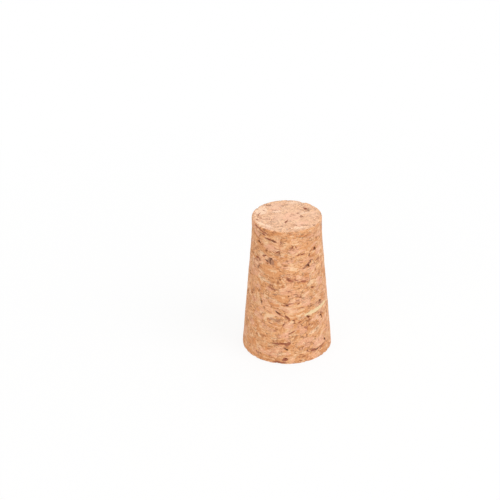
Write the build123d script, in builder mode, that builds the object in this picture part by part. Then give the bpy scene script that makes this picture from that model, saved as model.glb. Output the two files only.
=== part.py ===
from build123d import *
from math import atan, cos, degrees, radians, sin
import os

# Tapered cork stopper: one piece, ground to size from a block of pressed cork granules.
# It stands on its wide end. The origin is the centre of that end, +Z runs up the axis to
# the narrow end, and the front of the stopper faces -Y. All lengths are in millimetres.

# Turned form
length = 38.0
wide_diameter = 24.0    # at the widest point, just above the wide end's arris
narrow_diameter = 18.2
lead_length = 4.2       # plain cylinder that enters the neck before the taper starts
lead_ease = 1.5         # length, each way, over which the lead runs into the taper
wide_arris = 0.12       # edge taken off the wide end by grinding
narrow_arris = 0.12     # edge taken off the narrow end by grinding

# Flaws that are open to the surface. Each kind has its depth, and its floor as a share of
# its mouth: a small share makes sloping walls that meet almost in a keel.
crack_depth = 0.55      # narrow gap between two granules
crack_floor = 0.35
shed_depth = 0.30       # wide shallow bed that a lost granule leaves
shed_floor = 0.70
pinhole_depth = 0.80    # deep pore of the bark that the cut has opened
pinhole_floor = 0.60
chip_depth = 0.32       # bite out of a rim where a granule broke away
chip_floor = 0.60
proud = 0.25            # how far a cutting solid stands off the surface that it cuts

# Outlines for a flaw of unit size: a lozenge drawn out to two points, and an angular shard
lozenge = [(-0.50, -0.10), (0.12, -0.50), (0.50, 0.15), (-0.16, 0.50)]
shard = [(-0.50, -0.08), (-0.10, -0.50), (0.42, -0.34), (0.50, 0.18), (-0.18, 0.50)]

# Flaws on the side. A row gives the azimuth in degrees from the front towards +X, the height
# as a share of the length, the size along and across the flaw, and its tilt in degrees.
front_cracks = [
    (-41, 0.453, 1.8, 0.46, -77),
    (-5, 0.467, 1.7, 0.42, -12),
    (3, 0.466, 1.3, 0.36, 14),
    (15, 0.463, 1.3, 0.36, 15),
    (36, 0.795, 0.9, 0.42, 41),
    (-51, 0.884, 2.0, 0.42, -37),
    (-16, 0.845, 1.6, 0.38, 32),
    (-38, 0.803, 1.2, 0.36, 18),
    (21, 0.824, 2.4, 0.42, 3),
    (20, 0.618, 2.5, 0.40, -28),
    (35, 0.608, 1.4, 0.44, -56),
    (39, 0.556, 1.3, 0.38, -39),
    (-64, 0.474, 1.8, 0.42, -3),
    (-27, 0.568, 1.5, 0.36, -7),
    (-12, 0.389, 3.0, 0.48, -29),
    (53, 0.313, 1.3, 0.40, -84),
    (35, 0.274, 1.2, 0.38, -21),
    (2, 0.234, 1.3, 0.44, 5),
    (52, 0.062, 3.2, 0.44, -2),
    (-7, 0.161, 4.0, 0.42, 9),
    (-28, 0.134, 1.4, 0.40, -10),
    (-23, 0.074, 1.1, 0.38, -87),
    (58, 0.447, 1.2, 0.38, 88),
    (7, 0.887, 1.1, 0.36, 50),
    (14, 0.885, 1.0, 0.36, -48),
    (19, 0.509, 1.1, 0.36, -20),
    (7, 0.340, 0.9, 0.36, 8),
    (17, 0.321, 1.3, 0.36, 38),
    (27, 0.250, 1.0, 0.36, 10),
    (-6, 0.306, 1.1, 0.36, 66),
    (-19, 0.188, 1.3, 0.38, -52),
    (-41, 0.083, 1.5, 0.38, -14),
    (31, 0.064, 1.2, 0.36, 45),
]
front_sheds = [
    (31, 0.729, 2.9, 0.90, 29),
    (-31, 0.926, 3.5, 0.80, -5),
    (2, 0.645, 2.0, 0.80, -23),
    (-1, 0.358, 1.6, 0.80, -30),
    (48, 0.834, 1.9, 1.00, 43),
    (36, 0.058, 2.6, 0.80, 9),
    (-5, 0.042, 1.6, 0.90, 24),
    (-31, 0.772, 2.2, 1.70, 34),
    (-52, 0.693, 1.1, 1.00, 60),
    (-19, 0.324, 3.0, 1.10, 10),
]
front_pinholes = [
    (54, 0.413, 1.00, 0.62, 19),
    (29, 0.345, 0.95, 0.55, -56),
    (57, 0.111, 0.55, 0.50, 30),
    (-3, 0.116, 1.20, 0.56, -31),
    (-35, 0.750, 0.70, 0.60, -50),
    (-27, 0.790, 0.70, 0.55, 25),
    (25, 0.261, 0.75, 0.55, -58),
    (38, 0.749, 0.60, 0.50, 20),
    (-13, 0.646, 0.60, 0.48, -50),
    (1, 0.522, 0.50, 0.45, 10),
]

# The rest of the side has the same kinds of flaw, spread by the golden section so that none
# line up. Sizes and tilts come round in turns of unequal length, so neighbours differ.
hidden_start = 76.0
hidden_span = 208.0
golden_section = 0.618034
side_margin = 0.05      # share of the length kept clear below each rim
hidden_cracks = 38
crack_lengths = (1.2, 2.6, 1.7, 3.4, 1.0)
crack_widths = (0.38, 0.46, 0.42)
crack_tilts = (6, -22, 15, -84, -8, 31, -35)
crack_start = 0.0     # where each kind starts along the golden steps, so that kinds lie apart
hidden_sheds = 15
shed_lengths = (2.4, 1.6, 3.1)
shed_widths = (0.9, 1.3)
shed_tilts = (12, -26, 4, 38, -9)
shed_start = 0.45
hidden_pinholes = 12
pinhole_lengths = (0.8, 0.6, 1.1)
pinhole_widths = (0.50, 0.58)
pinhole_tilts = (20, -55, 75, -10)
pinhole_start = 0.7

# Flaws on the ends. A row gives the place as shares of the end's radius along X and Y, the
# size along and across the flaw, and its turn in degrees.
narrow_cracks = [
    (-0.02, -0.32, 1.5, 0.40, 70),
    (-0.40, -0.13, 3.2, 0.36, -8),
    (0.33, -0.63, 3.2, 0.36, -8),
    (-0.84, -0.16, 1.0, 0.36, -60),
    (0.38, -0.06, 1.2, 0.40, -30),
]
narrow_sheds = [
    (-0.55, 0.70, 1.9, 0.90, -14),
    (0.57, 0.38, 2.3, 1.10, -48),
    (-0.07, 0.73, 1.5, 0.80, 20),
    (-0.76, 0.06, 1.6, 1.10, 62),
]
wide_cracks = [
    (-0.45, 0.35, 2.8, 0.42, 24),
    (0.30, 0.55, 1.9, 0.40, -41),
    (0.62, -0.12, 2.4, 0.42, 78),
    (-0.15, -0.60, 3.1, 0.40, 8),
    (-0.70, -0.20, 1.6, 0.38, -66),
    (0.20, -0.35, 1.4, 0.38, 35),
    (0.05, 0.28, 1.2, 0.38, -12),
]
wide_sheds = [
    (0.42, -0.62, 2.6, 1.20, 30),
    (-0.30, 0.72, 2.0, 1.00, -20),
    (-0.48, -0.50, 1.8, 1.30, 55),
    (0.74, 0.34, 1.7, 1.00, -70),
]

# Chips out of the rims. A row gives the azimuth, the size along and across the chip, and
# its tilt in degrees.
narrow_chips = [
    (-66, 2.6, 0.75, 4),
    (-46, 3.4, 0.80, -6),
    (-4, 1.6, 0.55, 5),
    (27, 2.2, 0.50, -4),
    (41, 1.3, 0.60, 8),
    (66, 1.4, 0.60, 10),
    (150, 2.2, 0.75, 5),
    (236, 1.5, 0.65, -7),
]
wide_chips = [
    (-14, 2.4, 0.60, 3),
    (-47, 1.5, 0.55, -5),
    (-67, 2.0, 0.60, 4),
    (24, 1.3, 0.50, 6),
    (54, 1.4, 0.55, -6),
    (112, 2.6, 0.70, -4),
    (171, 1.4, 0.60, 7),
    (248, 2.0, 0.65, -3),
]

# Worked out from the sizes above
wide_radius = wide_diameter / 2
narrow_radius = narrow_diameter / 2
shoulder = length - lead_length
taper_slope = (wide_radius - narrow_radius) / (shoulder - wide_arris)
taper_angle = degrees(atan(taper_slope))
ease = min(lead_ease, 0.8 * (lead_length - narrow_arris))


def side_radius(height):
    """Radius of the side at a height: straight from the wide end up to the lead."""
    if height > shoulder:
        return narrow_radius
    return narrow_radius + taper_slope * (shoulder - height)


def seat(azimuth, radius, height, slope, tilt):
    """Plane on the cork at an azimuth, x along the flaw and z out of the cork.

    The outward direction rises from level by the slope, and x is turned up by the tilt.
    """
    turn = radians(azimuth)
    rise = radians(slope)
    point = (radius * sin(turn), -radius * cos(turn), height)
    outward = (sin(turn) * cos(rise), -cos(turn) * cos(rise), sin(rise))
    level = (cos(turn), sin(turn), 0)
    return Plane(origin=point, x_dir=level, z_dir=outward).rotated((0, 0, tilt))


def side_seat(azimuth, share, tilt):
    """Plane on the side at a share of the length, on the lead or on the taper."""
    height = share * length
    slope = 0 if height > shoulder else taper_angle
    return seat(azimuth, side_radius(height), height, slope, tilt)


def end_seat(end, radius, share_x, share_y, turn):
    """Plane on an end at shares of its radius, from the plane of that end."""
    point = end.from_local_coords((share_x * radius, share_y * radius, 0))
    return Plane(origin=point, x_dir=end.x_dir, z_dir=end.z_dir).rotated((0, 0, turn))


def flaw(plane, outline, along, across, depth, floor):
    """Solid that cuts one flaw: true to size at the plane, and closing to its floor."""
    mouth = 1 + (1 - floor) * proud / depth
    corners = []
    for level, share in ((proud, mouth), (-depth, floor)):
        for x, y in outline:
            corners.append(plane.from_local_coords((x * along * share, y * across * share, level)))
    return ConvexPolyhedron(corners, mode=Mode.PRIVATE)


def crack(plane, along, across):
    """Narrow gap between two granules."""
    return flaw(plane, lozenge, along, across, crack_depth, crack_floor)


def shed(plane, along, across):
    """Bed that a lost granule leaves."""
    return flaw(plane, shard, along, across, shed_depth, shed_floor)


def pinhole(plane, along, across):
    """Pore of the bark."""
    return flaw(plane, shard, along, across, pinhole_depth, pinhole_floor)


def on_side(kind, rows):
    """Flaws of one kind on the side."""
    cutters = []
    for azimuth, share, along, across, tilt in rows:
        cutters.append(kind(side_seat(azimuth, share, tilt), along, across))
    return cutters


def on_end(kind, end, radius, rows):
    """Flaws of one kind on one end."""
    cutters = []
    for share_x, share_y, along, across, turn in rows:
        cutters.append(kind(end_seat(end, radius, share_x, share_y, turn), along, across))
    return cutters


def on_rim(radius, height, slope, rows):
    """Chips out of one rim, which face out at the slope."""
    cutters = []
    for azimuth, along, across, tilt in rows:
        plane = seat(azimuth, radius, height, slope, tilt)
        cutters.append(flaw(plane, shard, along, across, chip_depth, chip_floor))
    return cutters


def hidden_rows(count, lengths, widths, tilts, first):
    """Rows for the hidden side: even steps in height, golden steps in azimuth."""
    rows = []
    for step in range(count):
        turn = ((step + first) * golden_section) % 1
        rise = (step + 0.5) / count
        azimuth = hidden_start + hidden_span * turn
        share = side_margin + (1 - 2 * side_margin) * rise
        along = lengths[step % len(lengths)]
        across = widths[step % len(widths)]
        rows.append((azimuth, share, along, across, tilts[step % len(tilts)]))
    return rows


# Cracks, beds and pores of the side and the ends, and the chips of both rims
narrow_end = Plane.XY.offset(length)
wide_end = Plane(origin=(0, 0, 0), x_dir=(1, 0, 0), z_dir=(0, 0, -1))
more_cracks = hidden_rows(hidden_cracks, crack_lengths, crack_widths, crack_tilts, crack_start)
more_sheds = hidden_rows(hidden_sheds, shed_lengths, shed_widths, shed_tilts, shed_start)
more_pinholes = hidden_rows(
    hidden_pinholes, pinhole_lengths, pinhole_widths, pinhole_tilts, pinhole_start
)

flaws = on_side(crack, front_cracks + more_cracks)
flaws += on_side(shed, front_sheds + more_sheds)
flaws += on_side(pinhole, front_pinholes + more_pinholes)
flaws += on_end(crack, narrow_end, narrow_radius, narrow_cracks)
flaws += on_end(shed, narrow_end, narrow_radius, narrow_sheds)
flaws += on_end(crack, wide_end, wide_radius, wide_cracks)
flaws += on_end(shed, wide_end, wide_radius, wide_sheds)
flaws += on_rim(narrow_radius, length, 45, narrow_chips)
flaws += on_rim(wide_radius, 0, -45, wide_chips)

with BuildPart() as stopper:
    # Half section: wide end and its arris, taper, ease, lead, arris and narrow end
    with BuildSketch(Plane.XZ):
        with BuildLine():
            Polyline(
                (0, 0),
                (wide_radius - wide_arris, 0),
                (wide_radius, wide_arris),
                (side_radius(shoulder - ease), shoulder - ease),
                (narrow_radius, shoulder + ease),
                (narrow_radius, length - narrow_arris),
                (narrow_radius - narrow_arris, length),
                (0, length),
                close=True,
            )
        make_face()
    revolve(axis=Axis.Z)
    add(flaws, mode=Mode.SUBTRACT)

os.makedirs("parts", exist_ok=True)
stopper.part.label = "stopper"
export_step(stopper.part, "parts/stopper.step")
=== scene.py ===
"""Dresses a tapered stopper of pressed cork granules and stands it in a plain white studio.

Lengths in the scene are metres. The stopper stands on its wide end at the origin, its axis
is +Z and its front faces -Y.
"""
from math import cos, pi, radians, sin

import bmesh
import bpy
import numpy as np
from bpy.props import FloatProperty, FloatVectorProperty, IntProperty, PointerProperty
from mathutils import Matrix, Vector


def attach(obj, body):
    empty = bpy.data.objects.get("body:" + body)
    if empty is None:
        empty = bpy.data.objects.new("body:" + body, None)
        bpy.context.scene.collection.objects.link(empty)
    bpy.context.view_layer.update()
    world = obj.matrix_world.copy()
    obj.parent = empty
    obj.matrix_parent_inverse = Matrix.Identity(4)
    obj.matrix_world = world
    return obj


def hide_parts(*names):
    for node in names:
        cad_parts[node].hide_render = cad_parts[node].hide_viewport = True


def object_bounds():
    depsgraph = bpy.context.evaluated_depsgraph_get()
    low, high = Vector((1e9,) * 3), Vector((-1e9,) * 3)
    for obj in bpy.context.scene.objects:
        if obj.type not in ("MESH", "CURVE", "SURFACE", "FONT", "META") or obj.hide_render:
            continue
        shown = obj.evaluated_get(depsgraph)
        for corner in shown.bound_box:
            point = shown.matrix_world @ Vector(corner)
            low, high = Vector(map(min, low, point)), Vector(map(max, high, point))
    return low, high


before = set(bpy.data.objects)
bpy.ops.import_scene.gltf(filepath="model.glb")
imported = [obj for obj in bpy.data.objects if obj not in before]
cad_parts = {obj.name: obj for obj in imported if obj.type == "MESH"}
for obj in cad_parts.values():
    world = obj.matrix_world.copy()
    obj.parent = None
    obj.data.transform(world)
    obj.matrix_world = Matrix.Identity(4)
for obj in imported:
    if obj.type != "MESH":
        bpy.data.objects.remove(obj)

bl_info = {
    "name": "Cork stopper",
    "version": (1, 0, 0),
    "blender": (4, 5, 0),
    "location": "View3D > Sidebar > Stopper",
    "description": "Dresses a tapered stopper of pressed cork and sets it in a plain studio",
    "category": "Object",
}

CAD_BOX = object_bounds()
CAD_SIZE = CAD_BOX[1] - CAD_BOX[0]
MM = 0.001
GOLDEN_SECTION = 0.618034

# Marks too narrow for the thinned skin, in the order that they lie over each other, and the
# broad ones that lie under them
NARROW_KINDS = ("straw", "grey", "rust", "dark")
BROAD_KINDS = ("ochre", "pink", "pale")

# No mark is looked for farther than this, and the skin stays fine up to the rim of a mark
MARKS_REACH = 3.0 * MM
MARK_RIM = 0.25 * MM

# Vertices of the CAD node's loose triangles that are closer than this are one
MERGE_REACH = 0.001 * MM

# The side blends into an end over this depth. A normal more upright than this is an end's.
END_BLEND = 0.4 * MM
SIDE_NORMAL = 0.7

# The flow of the board, the ruffled outlines of granules and the gaping of their seams
SWAY_PITCH = 9 * MM
RUFFLE_PITCH = 1.1 * MM
CRUMB_CHANCE = 0.5
GAPE_PITCH = 2.2 * MM
GAPE_RANGE = (0.42, 0.62)
SEAM_MIDDLE = 0.35

# Small pores of the bark, in cells one pitch apart: how much they are drawn out, the share of
# cells that has one, and the largest radius and the rim as shares of a cell
PORE_PITCH = 1.7 * MM
PORE_DRAW = 2.6
PORE_SHARE = 0.45
PORE_RADIUS = 0.26
PORE_RIM = 0.10

# Streaks turn by up to this angle from granule to granule, and their edges are frayed
STREAK_TURN = 0.22
FRAY_PITCH = 0.6 * MM
FRAY_REACH = 0.2 * MM

# Streaks of noise: their height, how many times they are drawn out level, and their detail
GRAIN = (0.24 * MM, 9.0, 2.0)
MOTTLE = (0.16 * MM, 3.0, 1.0)
FRAYED_OUTLINE = (0.40 * MM, 3.5, 3.0)
CRUMBLED_OUTLINE = (0.55 * MM, 1.0, 4.0)
STREAK_RANGE = (0.25, 0.75)
STREAK_ROUGHNESS = 0.6

# Flakes: their height and how many times they are drawn out level, and the line of their lips
COARSE_FLAKES = (0.60 * MM, 4.5)
FINE_FLAKES = (0.24 * MM, 5.0)
GROUND_PITS = (0.30 * MM, 1.0)
LIPS_ON_SIDE = (0.80 * MM, 5.0, 0.12 * MM)
LIPS_ON_END = (1.80 * MM, 1.2, 0.08 * MM)
LIP_CORE = 0.4

# The tone of the cork, from 0 to 1, and what each texture adds or takes away at most
TONE_BASE = 0.52
TONE_REACH = {
    "granule": 0.18,
    "coarse": 0.08,
    "fine": 0.18,
    "grain": 0.20,
    "mottle": 0.15,
    "ground": 1.0,
}
GROUND_ON_SIDE = 0.26
GROUND_ON_END = 0.80

# Granules turn pink or ochre where their random value goes from the first number to the second
TINTS = (
    (0.60, 0.90, "pink"),
    (0.35, 0.10, "ochre"),
)
TINT_SHARE = 0.50
# The ends go this far towards their own colour: partly the pale grain ground across the layers,
# partly a painted highlight for the light that falls on the top end
END_PALENESS_AND_HIGHLIGHT = 0.38

# Each kind of mark has its share of the colour, and its outline strays this far. The share
# fades over the edge from outside to inside.
MARK_STAINS = {
    "ochre": (0.80, 0.28 * MM),
    "pink": (0.56, 0.30 * MM),
    "pale": (0.66, 0.28 * MM),
    "straw": (0.88, 0.08 * MM),
    "grey": (0.62, 0.20 * MM),
    "rust": (0.85, 0.07 * MM),
    "dark": (0.90, 0.05 * MM),
}
MARK_EDGE = (0.05 * MM, -0.07 * MM)
END_STRAYING = 2.2

# The level of the wear noise at which the lips of flakes start to take a stain and take it in
# full, the stain and its largest share. The cream on the lips is partly scraped cork and partly a
# painted highlight.
LIP_WEAR_AND_HIGHLIGHT_PITCH = 1.6 * MM
LIP_STAINS_AND_HIGHLIGHTS = (
    (0.59, 0.64, "seam", 0.62),
    (0.47, 0.42, "cream", 0.50),
)

# Seams fill with pale dust over this range of its noise
DUST_PITCH = 3.0 * MM
DUST_RANGE = (0.47, 0.55)
SEAM_SHARE = 0.70
SEAM_SHARE_ON_END = 0.50

# Dashes in cells: pitch, how many times longer than high, share of cells that has one, share
# of the stain, and the stain. They are fainter on the ends.
DASHES = (
    (2.6 * MM, 8.0, 0.35, 0.75, "rust"),
    (1.2 * MM, 3.5, 0.12, 0.70, "rust"),
    (0.8 * MM, 3.5, 0.35, 0.60, "lightest"),
    (2.1 * MM, 6.5, 0.45, 0.70, "cream"),
)
DASH_RADIUS = 0.34
DASH_RIM = 0.07
DASH_SHARE_ON_END = 0.20
BEND_PITCH = 0.9 * MM
BEND_REACH = 0.9 * MM

# Cracks and pores take their brown lining and a painted shade between these depths, darker the
# deeper they are
HOLLOW_SHADE_RANGE = (0.20 * MM, 0.62 * MM)
HOLLOW_SHADE_SHARE = 0.55

# Dry matt cork: the roughness goes from one number to the other with the mottling
ROUGHNESS_RANGE = (0.72, 0.90)
SHEEN = 0.06
BUMP_STRENGTH = 0.6

# Relief too fine for the mesh: heights of the textures above the skin
FINE_RELIEF = {
    "grain": 0.04 * MM,
    "mottle": 0.02 * MM,
    "coarse": 0.03 * MM,
    "fine": 0.02 * MM,
    "seams": -0.05 * MM,
}

# Bake map: where an end starts and how upright its normals are, then the layout in UV
END_DEPTH = 0.9 * MM
END_INSET = 0.5 * MM
LEVEL_DEPTH = 0.35 * MM
LEVEL_NORMAL = 0.75
LEAST_NORMAL = 1e-15
BAKE_MARGIN = 0.01
BAKE_STRIP = 0.96
BAKE_HEIGHT = 0.56

# Half the width of the floor, and the distances over which it lifts to plain white
FLOOR_REACH = 2.0
LIFT_RANGE = (30 * MM, 160 * MM)
WHITE = (1.0, 1.0, 1.0, 1.0)
SENSOR_WIDTH = 36.0

# Where the square softboxes stand, and how wide they are
SOFTBOXES = {
    "key": ((0.62, -0.42, 0.66), 0.7),
    "top": ((0.05, 0.30, 0.95), 0.8),
    "fill": ((-0.65, -0.70, 0.35), 0.6),
}


def linear(code):
    """Linear RGBA of an sRGB hex colour."""
    channels = []
    for start in (0, 2, 4):
        value = int(code[start:start + 2], 16) / 255
        channels.append(value / 12.92 if value <= 0.04045 else ((value + 0.055) / 1.055) ** 2.4)
    return (*channels, 1.0)


def colour_value(name, description, code):
    """Property that holds a colour, by default that of an sRGB hex code."""
    return FloatVectorProperty(
        name=name,
        description=description,
        subtype="COLOR",
        size=4,
        default=linear(code),
    )


def number_value(name, description, default, unit="NONE"):
    """Property that holds a number."""
    return FloatProperty(name=name, description=description, default=default, unit=unit)


def length_value(name, description, default):
    """Property that holds a length in metres."""
    return number_value(name, description, default, "LENGTH")


# Marks on the side. A row gives the azimuth in degrees from the front towards +X, the height,
# length and width in millimetres, and the tilt in degrees.
OCHRE_PATCHES = [
    (3, 36.9, 11.5, 1.10, -7),
    (-34, 35.3, 3.4, 1.00, -9),
    (16, 34.7, 2.2, 1.60, -10),
    (-16, 28.1, 3.4, 1.10, -60),
    (28, 25.3, 2.4, 1.60, -15),
    (25, 23.3, 3.4, 1.00, -17),
    (-10, 19.5, 3.6, 0.90, 5),
    (-50, 9.2, 2.6, 2.20, 17),
    (-53, 4.4, 4.0, 2.00, 22),
    (-29, 3.9, 2.8, 1.00, 12),
    (10, 9.2, 3.4, 1.30, 24),
    (-20, 17.2, 3.2, 1.20, -14),
]
PINK_PATCHES = [
    (-27, 32.6, 4.4, 1.20, -3),
    (-33, 33.4, 2.6, 1.20, 14),
    (9, 32.5, 2.9, 1.50, -6),
    (43, 26.7, 2.4, 1.90, -21),
    (-46, 21.2, 3.2, 1.50, 19),
    (27, 17.6, 3.0, 2.60, -15),
    (58, 30.6, 2.6, 2.40, 30),
    (40, 12.0, 3.2, 1.40, 16),
    (46, 4.7, 4.4, 2.80, 20),
    (55, 22.0, 2.2, 3.20, 60),
    (49, 11.0, 3.0, 1.00, -70),
    (2, 29.6, 3.0, 1.20, 12),
    (1, 11.4, 2.8, 2.00, 13),
    (-6, 8.4, 3.6, 1.20, 10),
]
PALE_BANDS = [
    (39, 8.5, 5.2, 0.90, 22),
    (-40, 23.7, 4.2, 1.00, -13),
    (-27, 13.7, 3.5, 1.20, 12),
    (8, 27.5, 4.2, 1.10, -8),
    (-43, 7.2, 3.2, 1.10, 19),
    (36, 22.6, 2.6, 1.30, 22),
    (3, 12.0, 1.6, 0.60, 20),
    (-44, 30.8, 3.2, 0.60, -16),
    (20, 14.4, 3.4, 0.70, 16),
    (-8, 3.0, 4.4, 0.70, 6),
    (-30, 19.0, 3.4, 0.60, -22),
]
GREY_GRANULES = [
    (-19, 12.8, 3.6, 0.90, -4),
    (-28, 29.2, 2.2, 1.30, -27),
    (-16, 20.2, 3.2, 0.42, 6),
    (-52, 26.6, 1.7, 0.70, 65),
    (-16, 31.4, 1.8, 0.40, 8),
    (57, 15.2, 2.2, 0.60, 4),
    (31, 27.8, 3.0, 1.00, 32),
]
RUST_STREAKS = [
    (-58, 37.5, 2.8, 0.56, -4),
    (-43, 37.0, 3.4, 0.48, -12),
    (-43, 36.3, 2.0, 0.53, -10),
    (-35, 35.3, 2.0, 0.72, -9),
    (-24, 35.0, 1.8, 0.44, -10),
    (-51, 33.6, 1.7, 0.36, -40),
    (-16, 32.3, 1.8, 0.36, 36),
    (-39, 30.4, 1.7, 0.32, 22),
    (-55, 28.9, 1.1, 0.53, -5),
    (8, 33.7, 1.4, 0.28, 51),
    (13, 33.5, 1.5, 0.28, -62),
    (17, 31.3, 1.4, 0.32, 6),
    (25, 31.3, 1.3, 0.40, 20),
    (47, 31.8, 2.0, 0.36, 44),
    (48, 31.6, 1.5, 0.34, -58),
    (33, 28.2, 2.2, 0.60, 32),
    (25, 27.2, 1.0, 0.34, 13),
    (53, 28.3, 1.9, 0.34, 16),
    (1, 24.8, 1.1, 0.42, 3),
    (4, 24.2, 1.8, 0.56, -10),
    (13, 24.2, 2.0, 0.36, -29),
    (24, 23.6, 1.7, 0.67, -16),
    (39, 21.1, 1.1, 0.34, -44),
    (-27, 21.8, 1.5, 0.32, -16),
    (-64, 18.2, 2.0, 0.34, -5),
    (1, 17.5, 3.2, 0.32, 13),
    (18, 19.3, 0.9, 0.34, -11),
    (15, 17.5, 1.0, 0.40, 20),
    (19, 16.2, 2.5, 0.30, -7),
    (29, 13.2, 1.1, 0.42, -33),
    (30, 12.7, 0.8, 0.32, -68),
    (54, 11.5, 1.6, 0.34, -78),
    (-14, 14.8, 2.0, 0.44, -40),
    (-8, 14.2, 1.4, 0.34, -25),
    (-1, 13.7, 2.2, 0.67, -48),
    (8, 12.9, 0.9, 0.38, 13),
    (16, 12.1, 1.3, 0.38, 30),
    (35, 10.5, 1.3, 0.30, 22),
    (-25, 11.7, 1.7, 0.34, -13),
    (-6, 11.6, 1.1, 0.34, 62),
    (0, 6.0, 1.8, 0.87, 26),
    (-8, 6.0, 4.6, 0.46, 4),
    (-17, 6.0, 2.6, 0.30, 14),
    (6, 9.4, 2.7, 0.32, 30),
    (24, 10.3, 0.6, 0.44, -25),
    (35, 2.9, 1.8, 0.92, -4),
    (49, 3.0, 4.4, 0.38, 10),
    (58, 4.2, 1.2, 0.42, -67),
    (-4, 1.3, 1.8, 0.82, 13),
    (-11, 0.5, 3.8, 0.60, 0),
]
DARK_TICKS = [
    (-41, 17.2, 1.8, 0.40, -75),
    (38, 28.8, 0.6, 0.42, 30),
    (36, 30.6, 1.0, 0.40, 60),
    (-28, 30.0, 1.2, 0.34, -20),
    (-35, 29.2, 1.1, 0.38, -40),
    (53, 16.3, 1.1, 0.60, -20),
    (-3, 4.4, 1.2, 0.34, -32),
    (41, 2.7, 1.2, 0.38, 8),
    (58, 4.2, 1.1, 0.42, -67),
    (-1, 17.2, 1.0, 0.34, -12),
    (-16, 15.2, 1.2, 0.38, -40),
    (-23, 35.1, 1.5, 0.34, -10),
    (26, 3.2, 0.6, 0.38, -20),
    (29, 13.2, 0.8, 0.40, -33),
    (54, 11.5, 1.0, 0.34, -78),
]
STRAW_SLIVERS = [
    (47, 14.3, 9.6, 1.00, 5),
]

# Marks on the narrow end. A row gives x and y, length and width in millimetres, and the
# turn in degrees.
PINK_ON_END = [
    (1.1, -0.4, 5.0, 4.4, -8),
    (-2.7, 3.2, 3.4, 2.2, -10),
    (4.6, -3.6, 3.4, 1.6, 12),
]
PALE_ON_END = [
    (-6.6, 2.8, 3.4, 3.40, 40),
    (2.4, 7.6, 3.6, 1.40, -2),
    (4.4, 1.4, 2.8, 0.90, 24),
    # This band near the front rim is a painted highlight along the lip
    (2.2, -6.6, 5.6, 1.20, 3),
    (-4.8, -5.4, 2.6, 1.10, -30),
    (-7.2, -3.6, 3.0, 1.00, -62),
    (-2.6, 2.6, 2.2, 1.20, 10),
    (-6.4, 5.2, 2.4, 1.20, 50),
]
GREY_ON_END = [
    (5.4, 3.6, 2.1, 1.30, -40),
    (3.8, -0.5, 1.2, 0.90, -34),
    (-0.4, 6.2, 2.2, 0.90, 12),
    (-4.7, 6.2, 2.4, 1.10, -12),
    (-0.9, 5.7, 1.4, 0.70, 30),
]
RUST_ON_END = [
    (-0.2, -3.1, 2.1, 0.56, 64),
    (4.7, 4.3, 1.2, 0.60, -30),
    (3.0, 1.5, 0.8, 0.60, 20),
    (3.9, -0.2, 0.8, 0.50, -40),
    (-7.7, -1.8, 0.6, 0.60, 0),
    (-6.7, -1.0, 0.6, 0.60, 0),
    (6.8, -5.3, 0.6, 0.60, 0),
    (1.6, -5.1, 1.6, 0.40, -2),
    (4.4, -5.2, 2.2, 0.40, 4),
    (-7.0, 1.6, 1.5, 0.34, 64),
    (-5.9, 3.2, 1.5, 0.34, -48),
    (-4.1, 1.3, 1.9, 0.34, 24),
    (-3.2, 3.4, 1.5, 0.34, -36),
    (-5.2, -1.6, 2.6, 0.34, -6),
]

# The hidden side has like marks, spread by the golden section: how many, where the spread
# starts, and the lengths, widths and tilts that they take in turn
HIDDEN_START = 80.0
HIDDEN_SPAN = 200.0
HIDDEN_MARGIN = 0.04
HIDDEN_KINDS = {
    "ochre": (14, 0.1, (3.6, 2.6, 5.2, 3.0), (1.20, 2.00, 0.90), (6, -18, 22, -8)),
    "pink": (14, 0.5, (4.2, 2.6, 3.4), (1.40, 2.60, 1.10, 1.80), (-6, 18, 4, -20)),
    "pale": (14, 0.8, (5.2, 3.4, 4.2), (1.00, 0.70, 1.30), (-18, 9, 22, -4)),
    "grey": (10, 0.3, (2.6, 1.6, 3.4), (0.60, 1.10, 0.30), (-12, 30, 4, -28)),
    "rust": (
        64, 0.0, (1.8, 1.1, 2.9, 1.4, 2.2), (0.28, 0.55, 0.24, 0.34), (8, -24, 31, -11, 3, -60)
    ),
    "dark": (26, 0.4, (1.2, 1.8, 0.9), (0.30, 0.26, 0.36), (20, -50, 5, 65, -12)),
    "straw": (3, 0.2, (5.2, 7.4), (0.80, 1.10), (6, -14)),
}


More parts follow.
